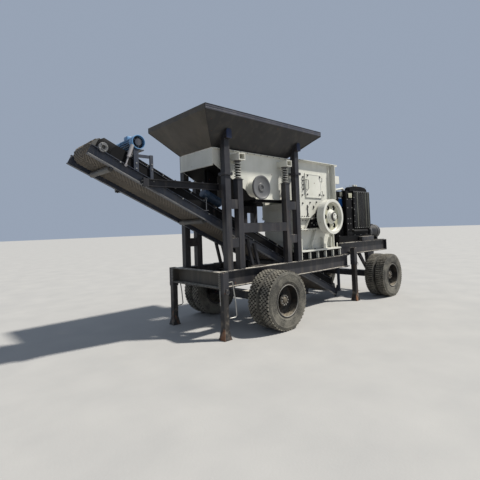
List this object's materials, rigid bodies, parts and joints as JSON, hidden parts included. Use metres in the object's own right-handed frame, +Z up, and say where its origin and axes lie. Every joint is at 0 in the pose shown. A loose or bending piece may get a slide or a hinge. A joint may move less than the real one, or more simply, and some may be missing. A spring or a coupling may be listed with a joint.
{
  "type": "mobile jaw crusher",
  "caption": "Wheeled jaw crushing plant: steel chassis on dual tyres and prop legs, hopper, sprung feeder, jaw crusher with flywheels, engine and an inclined discharge conveyor.",
  "frame": {"origin": "on the ground under the middle of the machine", "axes": "+X to the rear end with the engine, +Y to the far side, +Z up; the conveyor rises towards -X"},
  "size_m": [7.9992, 2.48, 3.825],
  "materials": {
    "frame_paint": "dark grey paint, dusty, rusting at edges and welds",
    "leg_paint": "dark grey paint, scraped to rust",
    "tyre": "worn truck tyre, caked with pale dust",
    "rim_paint": "grey paint, dusty",
    "hopper_paint": "black paint, satin, dusty",
    "cream_paint": "pale cream paint, satin, dusty",
    "spring_steel": "dark paint, worn",
    "cast_iron": "grey casting paint",
    "jaw_steel": "worn bare steel",
    "engine_paint": "deep blue paint, oily",
    "motor_paint": "light blue paint",
    "radiator_paint": "matte black paint",
    "belt_rubber": "dusty conveyor rubber",
    "roller_steel": "black rollers, dusty"
  },
  "bodies": {
    "chassis": {"rail_near": "frame_paint", "rail_far": "frame_paint", "front_beam": "frame_paint", "cross_members": "frame_paint", "axles": "frame_paint", "leg_sleeves": "frame_paint", "tower_near": "frame_paint", "tower_far": "frame_paint", "hopper_near": "hopper_paint", "hopper_far": "hopper_paint", "hopper_front_wall": "hopper_paint", "hopper_rear_wall": "hopper_paint", "feeder_side_near": "cream_paint", "feeder_side_far": "cream_paint", "feeder_pan": "cream_paint", "feeder_underside": "hopper_paint", "feeder_brackets": "cream_paint", "feeder_springs": "spring_steel", "exciter_housing": "cream_paint", "feeder_motor": "engine_paint", "crusher_side_near": "cream_paint", "crusher_side_far": "cream_paint", "crusher_end_walls": "cream_paint", "crusher_hood": "cream_paint", "crusher_base": "hopper_paint", "base_stiffeners": "cream_paint", "fixed_jaw": "jaw_steel", "swing_jaw": "jaw_steel", "bearing_housings": "cast_iron", "engine": "engine_paint", "radiator": "radiator_paint", "fuel_tank": "frame_paint", "engine_skid": "frame_paint", "air_pipe": "cream_paint", "drive_belt": "belt_rubber", "conveyor_frame": "frame_paint", "conveyor_belt": "belt_rubber", "conveyor_rollers": "roller_steel", "conveyor_skirts": "hopper_paint", "drive_portal": "frame_paint", "conveyor_drive": "motor_paint", "conveyor_arms": "frame_paint"},
    "flywheels": {"crusher_shaft": "jaw_steel", "flywheel_near": "cream_paint", "flywheel_far": "cream_paint"},
    "exciter": {"exciter_disc": "cast_iron"},
    "door": {"crusher_door": "cream_paint"},
    "wheels_front_near": {"tyres_front_near": "tyre", "rims_front_near": "rim_paint"},
    "wheels_front_far": {"tyres_front_far": "tyre", "rims_front_far": "rim_paint"},
    "wheels_rear_near": {"tyres_rear_near": "tyre", "rims_rear_near": "rim_paint"},
    "wheels_rear_far": {"tyres_rear_far": "tyre", "rims_rear_far": "rim_paint"},
    "support_front_near": {"leg_front_near": "leg_paint"},
    "support_front_far": {"leg_front_far": "leg_paint"},
    "support_rear_near": {"leg_rear_near": "leg_paint"},
    "support_rear_far": {"leg_rear_far": "leg_paint"}
  },
  "joints": [
    {"name": "flywheel_spin", "type": "hinge", "parent": "chassis", "child": "flywheels", "pos_m": [1.1996, 0, 2.01], "axis": [0, 1, 0], "continuous": true},
    {"name": "exciter_spin", "type": "hinge", "parent": "chassis", "child": "exciter", "pos_m": [-0.9404, -0.7, 2.565], "axis": [0, 1, 0], "continuous": true},
    {"name": "door_hinge", "type": "hinge", "parent": "chassis", "child": "door", "pos_m": [1.2446, -0.572, 2.7], "axis": [0, 0, 1], "range_deg": [0, 110]},
    {"name": "wheel_front_near_roll", "type": "hinge", "parent": "chassis", "child": "wheels_front_near", "pos_m": [-0.8774, -0.985, 0.525], "axis": [0, 1, 0], "continuous": true},
    {"name": "wheel_front_far_roll", "type": "hinge", "parent": "chassis", "child": "wheels_front_far", "pos_m": [-0.8774, 0.985, 0.525], "axis": [0, 1, 0], "continuous": true},
    {"name": "wheel_rear_near_roll", "type": "hinge", "parent": "chassis", "child": "wheels_rear_near", "pos_m": [3.1666, -0.985, 0.525], "axis": [0, 1, 0], "continuous": true},
    {"name": "wheel_rear_far_roll", "type": "hinge", "parent": "chassis", "child": "wheels_rear_far", "pos_m": [3.1666, 0.985, 0.525], "axis": [0, 1, 0], "continuous": true},
    {"name": "leg_front_near_lift", "type": "slide", "parent": "chassis", "child": "support_front_near", "axis": [0, 0, 1], "range_m": [0, 0.2]},
    {"name": "leg_front_far_lift", "type": "slide", "parent": "chassis", "child": "support_front_far", "axis": [0, 0, 1], "range_m": [0, 0.2]},
    {"name": "leg_rear_near_lift", "type": "slide", "parent": "chassis", "child": "support_rear_near", "axis": [0, 0, 1], "range_m": [0, 0.2]},
    {"name": "leg_rear_far_lift", "type": "slide", "parent": "chassis", "child": "support_rear_far", "axis": [0, 0, 1], "range_m": [0, 0.2]}
  ]
}
